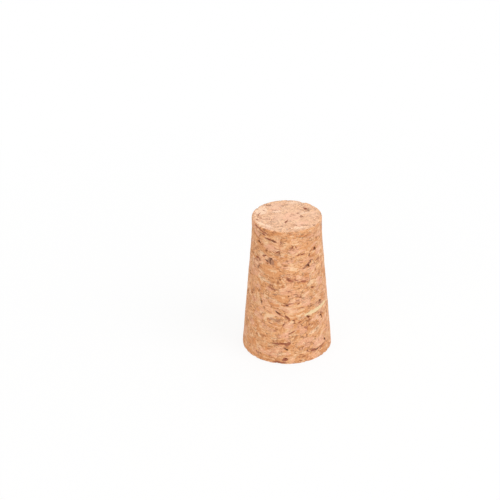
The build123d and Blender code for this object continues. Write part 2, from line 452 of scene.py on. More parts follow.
class StopperSizes(bpy.types.PropertyGroup):
    """Sizes of the turned form and of the granules that it was pressed from."""

    length: length_value("Length", "From the wide end to the narrow end", CAD_SIZE.z)
    wide_diameter: length_value(
        "Wide diameter",
        "At the widest point, just above the arris of the wide end",
        CAD_SIZE.x,
    )
    narrow_diameter: length_value(
        "Narrow diameter",
        "Of the plain lead that enters the neck",
        18.2 * MM,
    )
    lead_length: length_value("Lead length", "Plain cylinder at the narrow end", 4.2 * MM)
    lead_ease: length_value(
        "Lead ease",
        "Length, each way, over which the lead runs into the taper",
        1.5 * MM,
    )
    arris: length_value("Arris", "Edge that grinding takes off each end", 0.12 * MM)
    granule_width: length_value(
        "Granule width",
        "Across a large granule of cork, along the pressed layers",
        3.4 * MM,
    )
    crumb_width: length_value(
        "Crumb width",
        "Across a small granule, between the large ones",
        1.6 * MM,
    )
    flatness: number_value(
        "Flatness",
        "How many times wider than high the press has left a granule",
        2.0,
    )
    layer_tilt: number_value(
        "Layer tilt",
        "How far the pressed layers dip towards the front",
        radians(18),
        "ROTATION",
    )
    sway: length_value(
        "Sway",
        "How far the layers wander where granules flowed in the mould",
        2.6 * MM,
    )
    ruffle: length_value("Ruffle", "How ragged the outline of a granule is", 0.55 * MM)
    seam_width: length_value("Seam width", "From the middle of a seam to where it ends", 0.13 * MM)
    seam_depth: length_value("Seam depth", "How deep the open stretches of a seam are", 0.12 * MM)
    step_height: length_value(
        "Step height",
        "Most that a soft granule sprang back below its neighbours after grinding",
        0.07 * MM,
    )
    pore_depth: length_value("Pore depth", "How deep the small pores of the bark are", 0.22 * MM)
    mesh_pitch: length_value(
        "Mesh pitch",
        "Spacing of the skin's vertices before it is thinned",
        0.12 * MM,
    )
    triangles: IntProperty(
        name="Triangles",
        description="How many triangles the finished skin is thinned to",
        default=190000,
    )


class StopperColours(bpy.types.PropertyGroup):
    """Colours of the cork, as they show under plain white light."""

    darkest: colour_value("Darkest granule", "Bark-side cork, close to the woody back", "A6643C")
    dark: colour_value("Dark granule", "Dense late-season cork", "CB8C5A")
    middle: colour_value("Middling granule", "Plain cork", "DEA170")
    light: colour_value("Light granule", "Soft spring cork", "E7AE7E")
    lightest: colour_value("Lightest granule", "Cork cut across its cells", "EFBD90")
    pink: colour_value("Pink granule", "Cork that the steam of the press has turned pink", "EAB094")
    # The pink of the ends is lighter, partly with grinding and partly as a painted highlight like
    # the rest of the ends
    rosy_and_highlight: colour_value("Rosy granule", "Pink cork where an end was ground across it", "F6C0A2")
    ochre: colour_value("Ochre granule", "Cork with more tannin", "D6905A")
    seam: colour_value("Seam", "Binder and dust between granules", "8E5434")
    pale_seam: colour_value("Pale seam", "Ground cork dust that fills a seam", "EDC59C")
    cream: colour_value("Cream granule", "Pale cork from close to the cambium", "F7D2AA")
    # Partly the brown lining of cracks and pores, partly painted shade in their depth
    cavity_and_shade: colour_value("Cavity", "Inside of a crack or pore", "7A4634")
    tick: colour_value("Tick", "Lips of the deepest pores, almost black", "5C2C1C")
    rust: colour_value("Rust", "Reddish lining of a pore, cut along its length", "965038")
    grey: colour_value("Grey granule", "Weathered bark with a purple-grey cast", "A67A62")
    straw: colour_value("Straw sliver", "Sliver of pale wood from the inside of the bark", "ECD3A6")
    # The colour of the ends is partly their pale ground grain and partly a painted highlight for
    # the light on the top end
    end_grain_and_highlight: colour_value(
        "End",
        "Pale cast of the ends, which are ground across the layers",
        "FEDCC0",
    )


class StudioSettings(bpy.types.PropertyGroup):
    """Camera, floor and lights."""

    camera_place: FloatVectorProperty(
        name="Camera place",
        description="Where the camera stands, from the middle of the stopper's foot",
        subtype="XYZ",
        unit="LENGTH",
        default=(-9.64 * MM, -325.68 * MM, 209.03 * MM),
    )
    camera_pitch: number_value(
        "Camera pitch",
        "How far the camera looks down from level",
        radians(29.06),
        "ROTATION",
    )
    camera_roll: number_value(
        "Camera roll",
        "How far the camera leans, which turns the picture the other way",
        radians(-0.863),
        "ROTATION",
    )
    focal_length: number_value("Focal length", "In millimetres, on a sensor 36 mm wide", 102.46)
    floor_colour: colour_value("Floor colour", "Of the white card under the stopper", "F4F4F3")
    floor_lift: number_value(
        "Floor lift",
        "Share of plain white in what the camera sees of the floor",
        0.87,
    )
    ambient: number_value("Ambient light", "Strength of the white room around the stopper", 0.54)
    key_power: number_value("Key light", "Power of the softbox at the right, in watts", 4.9)
    top_power: number_value("Top light", "Power of the softbox overhead, in watts", 2.3)
    fill_power: number_value(
        "Fill light",
        "Power of the low softbox beside the camera, in watts",
        2.7,
    )
    fill_colour: colour_value("Fill colour", "Warm, as light off a cream card", "FFF3E0")


def add_node(tree, kind, sockets=None, **settings):
    """Adds a node with its settings. A socket takes a value, or the output that feeds it."""
    node = tree.nodes.new(kind)
    for name, value in settings.items():
        setattr(node, name, value)
    for key, value in (sockets or {}).items():
        if isinstance(value, bpy.types.NodeSocket):
            tree.links.new(value, node.inputs[key])
        else:
            node.inputs[key].default_value = value
    return node


def summed(tree, base, parts):
    """Base plus the product of each pair in the parts."""
    total = base
    for amount, reach in parts:
        total = add_node(tree, "ShaderNodeMath", {
            0: amount,
            1: reach,
            2: total,
        }, operation="MULTIPLY_ADD").outputs[0]
    return total


def shifted(tree, moved, shift, reach):
    """Place moved by a shift times the reach."""
    shift = add_node(tree, "ShaderNodeVectorMath", {
        0: shift,
        "Scale": reach,
    }, operation="SCALE").outputs[0]
    return add_node(tree, "ShaderNodeVectorMath", {
        0: moved,
        1: shift,
    }, operation="ADD").outputs[0]


def shaken(tree, moved, place, pitch, detail, reach):
    """Place moved by the noise at another place, by up to half the reach each way."""
    shift = add_node(tree, "ShaderNodeTexNoise", {
        "Vector": place,
        "Scale": 1 / pitch,
        "Detail": detail,
    }).outputs["Color"]
    shift = add_node(tree, "ShaderNodeVectorMath", {
        0: shift,
        1: (0.5, 0.5, 0.5),
    }, operation="SUBTRACT").outputs[0]
    return shifted(tree, moved, shift, reach)


def scattered(tree, place, pitch, channel, share, radius, rim):
    """Spots in a share of the cells one pitch apart, from 0 to 1 over their rim.

    A channel of each cell's random colour gives the size of its spot, up to the radius.
    """
    spots = add_node(tree, "ShaderNodeTexVoronoi", {"Vector": place, "Scale": 1 / pitch}).outputs
    chance = add_node(tree, "ShaderNodeSeparateXYZ", {0: spots["Color"]}).outputs[channel]
    reach = add_node(tree, "ShaderNodeMapRange", {
        "Value": chance,
        "From Min": 1.0 - share,
        "To Max": radius,
    }).outputs[0]
    inside = add_node(tree, "ShaderNodeMath", {
        0: reach,
        1: spots["Distance"],
    }, operation="SUBTRACT").outputs[0]
    return add_node(tree, "ShaderNodeMapRange", {
        "Value": inside,
        "From Max": rim,
    }, interpolation_type="SMOOTHSTEP").outputs[0]


def granule_field(tree, place, size):
    """Granules of two sizes that lie flat in the pressed board, at a place in the cork.

    Size maps the names of the granule's sizes to numbers or to outputs. Returns the distance
    from the nearest seam, a random colour for each granule, and the place along the layers.
    """
    # The layers wander where the granules flowed, and dip towards the front
    swayed = shaken(tree, place, place, SWAY_PITCH, 1.0, size["sway"])
    level = add_node(tree, "ShaderNodeVectorRotate", {
        "Vector": swayed,
        "Angle": size["layer_tilt"],
    }, rotation_type="X_AXIS", invert=True).outputs[0]
    ruffled = shaken(tree, level, place, RUFFLE_PITCH, 2.0, size["ruffle"])

    # Pressed flat: heights count for more than widths
    press = {0: 1.0, 1: 1.0, 2: size["flatness"]}
    press = add_node(tree, "ShaderNodeCombineXYZ", press).outputs[0]
    pressed = add_node(tree, "ShaderNodeVectorMath", {
        0: ruffled,
        1: press,
    }, operation="MULTIPLY").outputs[0]

    # Large granules, some of which give way to crumbs
    edges = []
    colours = []
    for width in (size["granule_width"], size["crumb_width"]):
        count = add_node(tree, "ShaderNodeMath", {
            0: 1.0,
            1: width,
        }, operation="DIVIDE").outputs[0]
        cells = {"Vector": pressed, "Scale": count}
        wall = add_node(tree, "ShaderNodeTexVoronoi", cells, feature="DISTANCE_TO_EDGE")
        edge = add_node(tree, "ShaderNodeMath", {
            0: wall.outputs["Distance"],
            1: width,
        }, operation="MULTIPLY").outputs[0]
        edges.append(edge)
        colours.append(add_node(tree, "ShaderNodeTexVoronoi", cells).outputs["Color"])
    crumbs = add_node(tree, "ShaderNodeMath", {
        0: add_node(tree, "ShaderNodeSeparateXYZ", {0: colours[0]}).outputs[0],
        1: CRUMB_CHANCE,
    }, operation="GREATER_THAN").outputs[0]
    whole = add_node(tree, "ShaderNodeMath", {0: 1.0, 1: crumbs}, operation="SUBTRACT").outputs[0]
    crumb_edge = add_node(tree, "ShaderNodeMath", {
        0: edges[1],
        1: whole,
    }, operation="ADD").outputs[0]
    edge = add_node(tree, "ShaderNodeMath", {
        0: edges[0],
        1: crumb_edge,
    }, operation="MINIMUM").outputs[0]
    colour = add_node(tree, "ShaderNodeMix", {
        0: crumbs,
        6: colours[0],
        7: colours[1],
    }, data_type="RGBA").outputs[2]
    return edge, colour, level


def open_seams(tree, place, edge, seam_width):
    """How open the seams are, from 0 to 1: some stretches gape and others are tight."""
    gaping = add_node(tree, "ShaderNodeTexNoise", {
        "Vector": place,
        "Scale": 1 / GAPE_PITCH,
        "Detail": 1.0,
    }).outputs["Fac"]
    gaping = add_node(tree, "ShaderNodeMapRange", {
        "Value": gaping,
        "From Min": GAPE_RANGE[0],
        "From Max": GAPE_RANGE[1],
    }, interpolation_type="SMOOTHSTEP").outputs[0]
    middle = add_node(tree, "ShaderNodeMath", {
        0: seam_width,
        1: SEAM_MIDDLE,
    }, operation="MULTIPLY").outputs[0]
    near = add_node(tree, "ShaderNodeMapRange", {
        "Value": edge,
        "From Min": middle,
        "From Max": seam_width,
        "To Min": 1.0,
        "To Max": 0.0,
    }, interpolation_type="SMOOTHSTEP").outputs[0]
    return add_node(tree, "ShaderNodeMath", {0: gaping, 1: near}, operation="MULTIPLY").outputs[0]


def small_pores(tree, place):
    """How open the small pores are, from 0 to 1. They are drawn out along the layers."""
    pressed = add_node(tree, "ShaderNodeVectorMath", {
        0: place,
        1: (1.0, 1.0, PORE_DRAW),
    }, operation="MULTIPLY").outputs[0]
    return scattered(tree, pressed, PORE_PITCH, 0, PORE_SHARE, PORE_RADIUS, PORE_RIM)


RELIEF_INPUTS = (
    ("granule_width", "Granule width"),
    ("crumb_width", "Crumb width"),
    ("flatness", "Flatness"),
    ("layer_tilt", "Layer tilt"),
    ("sway", "Sway"),
    ("ruffle", "Ruffle"),
    ("seam_width", "Seam width"),
    ("seam_depth", "Seam depth"),
    ("step_height", "Step height"),
    ("pore_depth", "Pore depth"),
)


def relief_tree():
    """Node tree that sinks seams, pores and soft granules below the ground surface."""
    tree = bpy.data.node_groups.new("Granule relief", "GeometryNodeTree")
    tree.is_modifier = True
    tree.interface.new_socket("Geometry", in_out="INPUT", socket_type="NodeSocketGeometry")
    tree.interface.new_socket("Geometry", in_out="OUTPUT", socket_type="NodeSocketGeometry")
    for key, title in RELIEF_INPUTS:
        tree.interface.new_socket(title, in_out="INPUT", socket_type="NodeSocketFloat")
    tree.interface.new_socket("Material", in_out="INPUT", socket_type="NodeSocketMaterial")

    given = add_node(tree, "NodeGroupInput").outputs
    size = {key: given[title] for key, title in RELIEF_INPUTS}
    place = add_node(tree, "GeometryNodeInputPosition").outputs[0]
    # The ends were ground off level layers
    normal = add_node(tree, "GeometryNodeInputNormal").outputs[0]
    upright = add_node(tree, "ShaderNodeSeparateXYZ", {0: normal}).outputs[2]
    upright = add_node(tree, "ShaderNodeMath", {0: upright}, operation="ABSOLUTE").outputs[0]
    on_side = add_node(tree, "ShaderNodeMath", {
        0: upright,
        1: SIDE_NORMAL,
    }, operation="LESS_THAN").outputs[0]
    size["layer_tilt"] = add_node(tree, "ShaderNodeMath", {
        0: on_side,
        1: size["layer_tilt"],
    }, operation="MULTIPLY").outputs[0]
    edge, colour, level = granule_field(tree, place, size)

    softness = add_node(tree, "ShaderNodeSeparateXYZ", {0: colour}).outputs[1]
    sunk = summed(tree, 0.0, (
        (open_seams(tree, place, edge, size["seam_width"]), size["seam_depth"]),
        (small_pores(tree, level), size["pore_depth"]),
        (softness, size["step_height"]),
    ))
    inwards = add_node(tree, "ShaderNodeMath", {
        0: sunk,
        1: -1.0,
    }, operation="MULTIPLY").outputs[0]
    offset = add_node(tree, "ShaderNodeVectorMath", {
        0: normal,
        "Scale": inwards,
    }, operation="SCALE").outputs[0]
    moved = add_node(tree, "GeometryNodeSetPosition", {
        "Geometry": given["Geometry"],
        "Offset": offset,
    }).outputs[0]
    real = add_node(tree, "GeometryNodeRealizeInstances", {0: moved}).outputs[0]
    dressed = add_node(tree, "GeometryNodeSetMaterial", {
        "Geometry": real,
        "Material": given["Material"],
    }).outputs[0]
    add_node(tree, "NodeGroupOutput", {0: dressed})
    return tree


def closed_skin(node):
    """New mesh with a CAD node's form, its loose triangles merged into one closed skin."""
    mesh = node.data.copy()
    mesh.materials.clear()
    skin = bmesh.new()
    skin.from_mesh(mesh)
    bmesh.ops.remove_doubles(skin, verts=skin.verts, dist=MERGE_REACH)
    skin.to_mesh(mesh)
    skin.free()
    return mesh


def evaluated_mesh(piece):
    """Plain mesh of a piece with its modifiers applied."""
    graph = bpy.context.evaluated_depsgraph_get()
    return bpy.data.meshes.new_from_object(piece.evaluated_get(graph), depsgraph=graph)


def weathered_skin(node, sizes, material):
    """Fine mesh of the stopper with the relief that grinding leaves in pressed granules."""
    piece = bpy.data.objects.new("stopper_skin", closed_skin(node))
    bpy.context.scene.collection.objects.link(piece)
    fine = piece.modifiers.new("Fine skin", "REMESH")
    fine.mode = "VOXEL"
    fine.voxel_size = sizes.mesh_pitch
    relief = piece.modifiers.new("Granule relief", "NODES")
    tree = relief_tree()
    relief.node_group = tree
    inputs = [item for item in tree.interface.items_tree if item.in_out == "INPUT"]
    sockets = {item.name: item.identifier for item in inputs}
    for key, title in RELIEF_INPUTS:
        relief[sockets[title]] = getattr(sizes, key)
    relief[sockets["Material"]] = material
    coarse = piece.data
    piece.data = evaluated_mesh(piece)
    piece.modifiers.clear()
    bpy.data.meshes.remove(coarse)

    # Thinned where it is flat and unmarked, so the triangles go to cracks, seams and marks
    distances = mark_distances(piece.data, sizes)
    narrow = np.minimum.reduce([distances[kind] for kind in NARROW_KINDS])
    kept = piece.vertex_groups.new(name="Marks")
    kept.add(np.flatnonzero(narrow < MARK_RIM).tolist(), 1.0, "REPLACE")
    count = sum(len(face.vertices) - 2 for face in piece.data.polygons)
    thin = piece.modifiers.new("Thinning", "DECIMATE")
    thin.ratio = min(1.0, sizes.triangles / count)
    thin.use_collapse_triangulate = True
    thin.vertex_group = kept.name
    thin.invert_vertex_group = True
    full = piece.data
    piece.data = evaluated_mesh(piece)
    piece.modifiers.clear()
    piece.vertex_groups.clear()
    bpy.data.meshes.remove(full)
    piece.data.shade_smooth()
    return piece


def side_radius(height, sizes):
    """Radius of the ground side at each height: taper, ease and lead."""
    shoulder = sizes.length - sizes.lead_length
    wide = sizes.wide_diameter / 2
    narrow = sizes.narrow_diameter / 2
    slope = (wide - narrow) / (shoulder - sizes.arris)
    below = narrow + slope * sizes.lead_ease
    starts = shoulder - sizes.lead_ease
    ends = shoulder + sizes.lead_ease
    heights = (0.0, sizes.arris, starts, ends, sizes.length)
    return np.interp(height, heights, (wide, wide, below, narrow, narrow))


def hidden_rows(kind, sizes):
    """Rows of one kind of mark for the hidden side: even steps up, golden steps round."""
    count, first, lengths, widths, tilts = HIDDEN_KINDS[kind]
    rows = []
    for step in range(count):
        turn = ((step + first) * GOLDEN_SECTION) % 1
        rise = HIDDEN_MARGIN + (1 - 2 * HIDDEN_MARGIN) * (step + 0.5) / count
        rows.append((
            HIDDEN_START + HIDDEN_SPAN * turn,
            rise * sizes.length / MM,
            lengths[step % len(lengths)],
            widths[step % len(widths)],
            tilts[step % len(tilts)],
        ))
    return rows


def distance_to_marks(across, up, rows):
    """Least distance, below 0 inside, from each point to the rounded marks in the rows.

    Across and up give each point's place from a row's middle when called with that row.
    """
    nearest = np.full(len(up(rows[0])), MARKS_REACH)
    for row in rows:
        length, width, tilt = row[2] * MM, row[3] * MM, radians(row[4])
        x = across(row)
        y = up(row)
        along = (x * cos(tilt) + y * sin(tilt)) / (length / 2)
        over = (y * cos(tilt) - x * sin(tilt)) / (width / 2)
        reach = np.hypot(along, over)
        nearest = np.minimum(nearest, (reach - 1) * width / 2)
    return nearest


def mark_distances(mesh, sizes):
    """Each vertex's distance from the marks of each kind, its depth and its share of an end."""
    flat = np.empty(len(mesh.vertices) * 3, np.float32)
    mesh.vertices.foreach_get("co", flat)
    x, y, z = flat.reshape(-1, 3).astype(float).T
    azimuth = np.degrees(np.arctan2(x, -y))
    side_depth = side_radius(z, sizes) - np.hypot(x, y)
    end_depth = np.minimum(z, sizes.length - z)
    on_end = end_depth < side_depth
    values = {"open_depth": np.minimum(side_depth, end_depth)}
    values["end_face"] = np.clip((side_depth - end_depth) / END_BLEND, 0, 1)

    def round_side(row):
        turn = (azimuth - row[0] + 180) % 360 - 180
        return np.radians(turn) * side_radius(z, sizes)

    def up_side(row):
        return z - row[1] * MM

    def along_end(row):
        return x - row[0] * MM

    def over_end(row):
        return y - row[1] * MM

    tables = {
        "ochre": (OCHRE_PATCHES, []),
        "pale": (PALE_BANDS, PALE_ON_END),
        "pink": (PINK_PATCHES, PINK_ON_END),
        "grey": (GREY_GRANULES, GREY_ON_END),
        "rust": (RUST_STREAKS, RUST_ON_END),
        "dark": (DARK_TICKS, []),
        "straw": (STRAW_SLIVERS, []),
    }
    for kind, (side_rows, end_rows) in tables.items():
        on_side = distance_to_marks(round_side, up_side, side_rows + hidden_rows(kind, sizes))
        values[kind] = np.where(on_end, MARKS_REACH, on_side)
        if end_rows:
            on_top = distance_to_marks(along_end, over_end, end_rows)
            narrow_end = on_end & (z > sizes.length / 2)
            values[kind] = np.where(narrow_end, on_top, values[kind])
    return values


def mark_skin(mesh, sizes):
    """Gives the skin its attributes: depth below the ground surface, ends and marks."""
    for name, value in mark_distances(mesh, sizes).items():
        layer = mesh.attributes.new(name, "FLOAT", "POINT")
        layer.data.foreach_set("value", value.astype(np.float32))


def add_bake_map(mesh, sizes):
    """UV map for baking: the side unrolled in one strip, with the two ends above it."""
    corners = len(mesh.loops)
    vertex = np.empty(corners, np.int32)
    mesh.loops.foreach_get("vertex_index", vertex)
    flat = np.empty(len(mesh.vertices) * 3, np.float32)
    mesh.vertices.foreach_get("co", flat)
    points = flat.reshape(-1, 3).astype(float)[vertex].reshape(-1, 3, 3)
    x, y, z = points[:, :, 0], points[:, :, 1], points[:, :, 2]
    side_depth = side_radius(z, sizes) - np.hypot(x, y)
    end_depth = np.minimum(z, sizes.length - z)
    normal = np.cross(points[:, 1] - points[:, 0], points[:, 2] - points[:, 0])
    size = np.maximum(np.linalg.norm(normal, axis=1), LEAST_NORMAL)
    upright = np.abs(normal[:, 2]) / size
    near_end = end_depth.min(axis=1) < END_DEPTH
    inboard = side_depth.min(axis=1) > END_INSET
    level = (upright > LEVEL_NORMAL) & (end_depth.min(axis=1) < LEVEL_DEPTH)
    on_end = near_end & (inboard | level)

    # Side: once round is the strip's width, and a face across the join runs past its end
    turn = np.arctan2(x, -y) / (2 * pi) + 0.5
    split = (turn.max(axis=1) - turn.min(axis=1) > 0.5)[:, None]
    turn = np.where(split & (turn < 0.5), turn + 1, turn)
    u = BAKE_MARGIN + BAKE_STRIP * turn
    v = BAKE_MARGIN + BAKE_HEIGHT * z / sizes.length

    # Ends: true discs beside each other
    scale = BAKE_HEIGHT / sizes.length
    wide = sizes.wide_diameter / 2
    narrow = sizes.narrow_diameter / 2
    wide_middle = BAKE_MARGIN + scale * wide
    narrow_middle = 3 * BAKE_MARGIN + scale * (2 * wide + narrow)
    middle = np.where(z > sizes.length / 2, narrow_middle, wide_middle)
    lift = 3 * BAKE_MARGIN + BAKE_HEIGHT + scale * wide
    u = np.where(on_end[:, None], middle + scale * x, u)
    v = np.where(on_end[:, None], lift + scale * y, v)
    layer = mesh.uv_layers.new(name="OFBake")
    layer.data.foreach_set("uv", np.stack([u, v], axis=-1).astype(np.float32).ravel())


def layered(tree, place, random):
    """Place turned a little another way in each granule, so that streaks change direction."""
    axis = add_node(tree, "ShaderNodeVectorMath", {
        0: random,
        1: (0.5, 0.5, 0.5),
    }, operation="SUBTRACT").outputs[0]
    angle = add_node(tree, "ShaderNodeMapRange", {
        "Value": add_node(tree, "ShaderNodeSeparateXYZ", {0: random}).outputs[2],
        "To Min": -STREAK_TURN,
        "To Max": STREAK_TURN,
    }).outputs[0]
    turned = add_node(tree, "ShaderNodeVectorRotate", {
        "Vector": place,
        "Axis": axis,
        "Angle": angle,
    }, rotation_type="AXIS_ANGLE").outputs[0]
    fraying = add_node(tree, "ShaderNodeTexNoise", {
        "Vector": place,
        "Scale": 1 / FRAY_PITCH,
        "Detail": 2.0,
    }).outputs["Color"]
    return shifted(tree, turned, fraying, FRAY_REACH)


def streaks(tree, place, width, draw, detail):
    """Streaks of growth along the layers, from -1 to 1, one width high and drawn out level."""
    place = add_node(tree, "ShaderNodeVectorMath", {
        0: place,
        1: (1 / draw, 1 / draw, 1.0),
    }, operation="MULTIPLY").outputs[0]
    value = add_node(tree, "ShaderNodeTexNoise", {
        "Vector": place,
        "Scale": 1 / width,
        "Detail": detail,
        "Roughness": STREAK_ROUGHNESS,
    }).outputs["Fac"]
    return add_node(tree, "ShaderNodeMapRange", {
        "Value": value,
        "From Min": STREAK_RANGE[0],
        "From Max": STREAK_RANGE[1],
        "To Min": -1.0,
    }).outputs[0]


def flakes(tree, place, width, draw):
    """Tone of each flake that grinding has torn from a granule, from -1 to 1."""
    place = add_node(tree, "ShaderNodeVectorMath", {
        0: place,
        1: (1 / draw, 1 / draw, 1.0),
    }, operation="MULTIPLY").outputs[0]
    colour = add_node(tree, "ShaderNodeTexVoronoi", {
        "Vector": place,
        "Scale": 1 / width,
    }).outputs["Color"]
    return add_node(tree, "ShaderNodeMapRange", {
        "Value": add_node(tree, "ShaderNodeSeparateXYZ", {0: colour}).outputs[0],
        "To Min": -1.0,
    }).outputs[0]


def flake_lips(tree, place, width, draw, line):
    """How near the rim of a torn flake is, from 0 to 1 within one line's width."""
    place = add_node(tree, "ShaderNodeVectorMath", {
        0: place,
        1: (1 / draw, 1 / draw, 1.0),
    }, operation="MULTIPLY").outputs[0]
    wall = add_node(tree, "ShaderNodeTexVoronoi", {
        "Vector": place,
        "Scale": 1 / width,
    }, feature="DISTANCE_TO_EDGE").outputs["Distance"]
    return add_node(tree, "ShaderNodeMapRange", {
        "Value": wall,
        "From Min": LIP_CORE * line / width,
        "From Max": line / width,
        "To Min": 1.0,
        "To Max": 0.0,
    }).outputs[0]


def granule_colour(tree, tone, random, colours):
    """Colour of the cork at a tone from 0 to 1, with a turn to pink or ochre by granule."""
    ramp = add_node(tree, "ShaderNodeValToRGB", {0: tone})
    stops = ramp.color_ramp.elements
    names = ("darkest", "dark", "middle", "light", "lightest")
    while len(stops) < len(names):
        stops.new(1.0)
    for step, (stop, name) in enumerate(zip(stops, names)):
        stop.position = step / (len(names) - 1)
        stop.color = getattr(colours, name)
    tinted = ramp.outputs[0]
    chance = add_node(tree, "ShaderNodeSeparateXYZ", {0: random}).outputs[1]
    for start, full, name in TINTS:
        share = add_node(tree, "ShaderNodeMapRange", {
            "Value": chance,
            "From Min": start,
            "From Max": full,
            "To Max": TINT_SHARE,
        }).outputs[0]
        tinted = add_node(tree, "ShaderNodeMix", {
            0: share,
            6: tinted,
            7: getattr(colours, name),
        }, data_type="RGBA").outputs[2]
    return tinted


def marked(tree, colour, straying, kind, stain):
    """Colour with one kind of mark in its places, the marks' outlines made ragged."""
    strength, reach = MARK_STAINS[kind]
    distance = add_node(tree, "ShaderNodeMath", {
        0: straying,
        1: reach,
        2: add_node(tree, "ShaderNodeAttribute", attribute_name=kind).outputs["Fac"],
    }, operation="MULTIPLY_ADD").outputs[0]
    share = add_node(tree, "ShaderNodeMapRange", {
        "Value": distance,
        "From Min": MARK_EDGE[0],
        "From Max": MARK_EDGE[1],
        "To Max": strength,
    }, interpolation_type="SMOOTHSTEP").outputs[0]
    return add_node(tree, "ShaderNodeMix", {
        0: share,
        6: colour,
        7: stain,
    }, data_type="RGBA").outputs[2]


def with_lips_and_highlights(tree, colour, place, turned, end_face, colours):
    """Colour with the lips of flakes, brown with dust in some places and cream in others: partly
    scraped cork, partly a painted highlight.
    """
    on_side = flake_lips(tree, turned, *LIPS_ON_SIDE)
    on_end = flake_lips(tree, turned, *LIPS_ON_END)
    lips = add_node(tree, "ShaderNodeMix", {0: end_face, 2: on_side, 3: on_end}).outputs[0]
    lip_wear_and_highlight = add_node(tree, "ShaderNodeTexNoise", {
        "Vector": place,
        "Scale": 1 / LIP_WEAR_AND_HIGHLIGHT_PITCH,
        "Detail": 2.0,
    }).outputs["Fac"]
    # The cream on the lips is partly scraped cork and partly a painted highlight
    for start, full, name, strength in LIP_STAINS_AND_HIGHLIGHTS:
        share = add_node(tree, "ShaderNodeMapRange", {
            "Value": lip_wear_and_highlight,
            "From Min": start,
            "From Max": full,
            "To Max": strength,
        }).outputs[0]
        share = add_node(tree, "ShaderNodeMath", {
            0: share,
            1: lips,
        }, operation="MULTIPLY").outputs[0]
        colour = add_node(tree, "ShaderNodeMix", {
            0: share,
            6: colour,
            7: getattr(colours, name),
        }, data_type="RGBA").outputs[2]
    return colour


def with_seams(tree, colour, place, seams, end_face, colours):
    """Colour with the seams, brown with binder or pale where they are packed with dust."""
    dusty = add_node(tree, "ShaderNodeTexNoise", {
        "Vector": place,
        "Scale": 1 / DUST_PITCH,
        "Detail": 1.0,
    }).outputs["Fac"]
    dusty = add_node(tree, "ShaderNodeMapRange", {
        "Value": dusty,
        "From Min": DUST_RANGE[0],
        "From Max": DUST_RANGE[1],
    }).outputs[0]
    filling = add_node(tree, "ShaderNodeMix", {
        0: dusty,
        6: colours.seam,
        7: colours.pale_seam,
    }, data_type="RGBA").outputs[2]
    share = add_node(tree, "ShaderNodeMapRange", {
        "Value": end_face,
        "To Min": SEAM_SHARE,
        "To Max": SEAM_SHARE_ON_END,
    }).outputs[0]
    share = add_node(tree, "ShaderNodeMath", {
        0: seams,
        1: share,
    }, operation="MULTIPLY").outputs[0]
    return add_node(tree, "ShaderNodeMix", {
        0: share,
        6: colour,
        7: filling,
    }, data_type="RGBA").outputs[2]


def with_dashes(tree, colour, level, end_face, colours):
    """Colour with dashes across the layers' edge: long and short ones, brown and pale."""
    faint = add_node(tree, "ShaderNodeMapRange", {
        "Value": end_face,
        "To Min": 1.0,
        "To Max": DASH_SHARE_ON_END,
    }).outputs[0]
    bend = add_node(tree, "ShaderNodeTexNoise", {
        "Vector": level,
        "Scale": 1 / BEND_PITCH,
        "Detail": 2.0,
    }).outputs["Color"]
    bent = shifted(tree, level, bend, BEND_REACH)
    for pitch, length, share, strength, name in DASHES:
        pressed = add_node(tree, "ShaderNodeVectorMath", {
            0: bent,
            1: (1.0, 1.0, length),
        }, operation="MULTIPLY").outputs[0]
        dashes = scattered(tree, pressed, pitch, 2, share, DASH_RADIUS, DASH_RIM)
        dashes = add_node(tree, "ShaderNodeMath", {
            0: dashes,
            1: faint,
        }, operation="MULTIPLY").outputs[0]
        dashes = add_node(tree, "ShaderNodeMath", {
            0: dashes,
            1: strength,
        }, operation="MULTIPLY").outputs[0]
        colour = add_node(tree, "ShaderNodeMix", {
            0: dashes,
            6: colour,
            7: getattr(colours, name),
        }, data_type="RGBA").outputs[2]
    return colour


def cork_textures(tree, place, level, turned, random, end_face):
    """Textures of the cork by name, from -1 to 1. The ground pits are fainter on the side."""
    pits = flakes(tree, place, *GROUND_PITS)
    share = add_node(tree, "ShaderNodeMapRange", {
        "Value": end_face,
        "To Min": GROUND_ON_SIDE,
        "To Max": GROUND_ON_END,
    }).outputs[0]
    ground = add_node(tree, "ShaderNodeMath", {0: pits, 1: share}, operation="MULTIPLY").outputs[0]
    granule = add_node(tree, "ShaderNodeMapRange", {
        "Value": add_node(tree, "ShaderNodeSeparateXYZ", {0: random}).outputs[0],
        "To Min": -1.0,
    }).outputs[0]
    return {
        "granule": granule,
        "coarse": flakes(tree, turned, *COARSE_FLAKES),
        "fine": flakes(tree, turned, *FINE_FLAKES),
        "grain": streaks(tree, turned, *GRAIN),
        "mottle": streaks(tree, level, *MOTTLE),
        "ground": ground,
    }


def outline_straying(tree, place, level, end_face):
    """How far outlines stray: frayed along the layers on the side, and crumbled on the ends."""
    frayed = streaks(tree, level, *FRAYED_OUTLINE)
    crumbled = streaks(tree, place, *CRUMBLED_OUTLINE)
    crumbled = add_node(tree, "ShaderNodeMath", {
        0: crumbled,
        1: END_STRAYING,
    }, operation="MULTIPLY").outputs[0]
    return add_node(tree, "ShaderNodeMix", {0: end_face, 2: frayed, 3: crumbled}).outputs[0]


